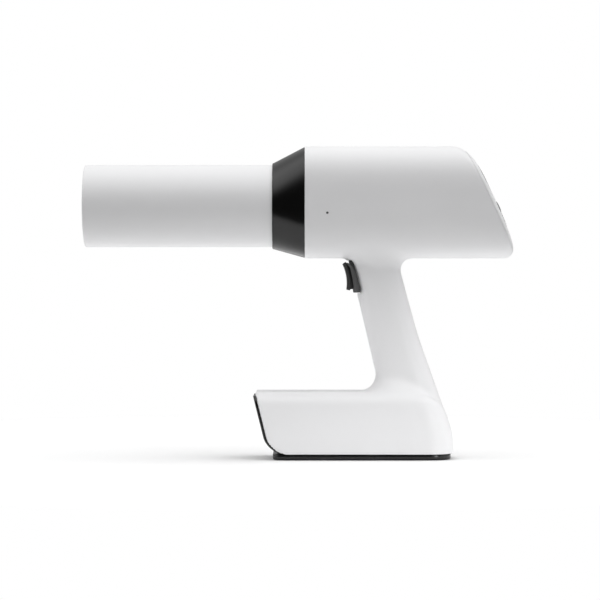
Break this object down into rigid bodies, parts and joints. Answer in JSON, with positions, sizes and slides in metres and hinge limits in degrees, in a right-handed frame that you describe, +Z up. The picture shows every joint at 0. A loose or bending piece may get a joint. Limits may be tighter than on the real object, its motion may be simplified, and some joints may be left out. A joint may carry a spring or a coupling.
{
  "type": "intraoral x-ray unit",
  "caption": "Hand-held intraoral x-ray unit: white pistol-grip casing, open cone on a black collar, sprung trigger, rear control panel and a battery base that stands on a flat foot.",
  "frame": {"origin": "middle of the object's box at the level of the foot's underside", "axes": "+X along the beam towards the back of the head, +Y across, +Z up; the cone points to -X"},
  "size_m": [0.354, 0.084, 0.258],
  "materials": {
    "white_casing": "satin moulded",
    "black_gloss": "polished",
    "black_satin": "fine texture",
    "rubber": "matt",
    "steel": "zinc plated",
    "sheet_steel": "rolled",
    "lead": "dull lead alloy",
    "aluminium": "cast and turned",
    "glass": "clear",
    "copper": "machined copper",
    "tungsten": "ground",
    "insulator": "moulded",
    "core_iron": "laminated",
    "circuit_board": "solder mask",
    "cable": "braided sleeve",
    "display_glass": "tinted",
    "display": "display module",
    "key_grey": "satin",
    "mark_grey": "printed",
    "trigger_grey": "fine texture",
    "red_plastic": "moulded",
    "cell_wrap": "shrink sleeve"
  },
  "bodies": {
    "root_body": {"left_shell": "white_casing", "right_shell": "white_casing", "shell_screws": "steel", "screw_plugs": "white_casing", "collar": "black_gloss", "cone_tube": "white_casing", "cone_liner": "lead", "cone_mount": "aluminium", "mount_screws": "steel", "exit_window": "black_satin", "collimator": "lead", "beam_filter": "aluminium", "tank_body": "aluminium", "tank_seal": "rubber", "tank_cover": "aluminium", "tank_screws": "steel", "lead_shield": "lead", "tube_envelope": "glass", "anode_block": "copper", "target_disc": "tungsten", "cathode_cup": "steel", "tube_cradle": "insulator", "transformer_core": "core_iron", "transformer_windings": "copper", "multiplier_board": "circuit_board", "oil_bellows": "rubber", "board_bracket": "sheet_steel", "drive_board": "circuit_board", "board_screws": "steel", "wiring_harness": "cable", "rear_bezel": "white_casing", "panel": "black_gloss", "display_window": "display_glass", "display_module": "display", "keypad_board": "circuit_board", "focal_marks": "mark_grey", "trigger_bezel": "trigger_grey", "trigger_pin": "steel", "trigger_spring": "steel", "trigger_switch": "black_satin", "base_cover": "black_gloss", "foot": "black_satin", "rubber_pads": "rubber", "foot_screws": "steel", "battery_cells": "cell_wrap", "cell_holders": "black_satin", "battery_board": "circuit_board", "charge_socket": "black_satin"},
    "trigger": {"trigger": "trigger_grey"},
    "plunger": {"switch_plunger": "red_plastic"},
    "power_key": {"key_power": "key_grey"},
    "mode_key": {"key_mode": "key_grey"},
    "minus_key": {"key_minus": "key_grey"},
    "plus_key": {"key_plus": "key_grey"}
  },
  "joints": [
    {"name": "trigger_pull", "type": "hinge", "parent": "root_body", "child": "trigger", "pos_m": [0.04646, 0, 0.1605], "axis": [0, -1, 0], "range_deg": [0, 5], "stiffness_Nm_per_rad": 0.35, "springref_deg": -20.05, "deforming": ["trigger_spring"]},
    {"name": "switch_travel", "type": "slide", "parent": "root_body", "child": "plunger", "axis": [1, 0, 0], "range_m": [0, 0.001]},
    {"name": "power_press", "type": "slide", "parent": "root_body", "child": "power_key", "axis": [-0.9063, 0, -0.4226], "range_m": [0, 0.0008], "stiffness_N_per_m": 900, "springref_m": -0.0006},
    {"name": "mode_press", "type": "slide", "parent": "root_body", "child": "mode_key", "axis": [-0.9063, 0, -0.4226], "range_m": [0, 0.0008], "stiffness_N_per_m": 900, "springref_m": -0.0006},
    {"name": "minus_press", "type": "slide", "parent": "root_body", "child": "minus_key", "axis": [-0.9063, 0, -0.4226], "range_m": [0, 0.0008], "stiffness_N_per_m": 900, "springref_m": -0.0006},
    {"name": "plus_press", "type": "slide", "parent": "root_body", "child": "plus_key", "axis": [-0.9063, 0, -0.4226], "range_m": [0, 0.0008], "stiffness_N_per_m": 900, "springref_m": -0.0006}
  ],
  "couplings": [
    {"joint": "switch_travel", "follows": "trigger_pull", "m_per_rad": 0.0099}
  ]
}
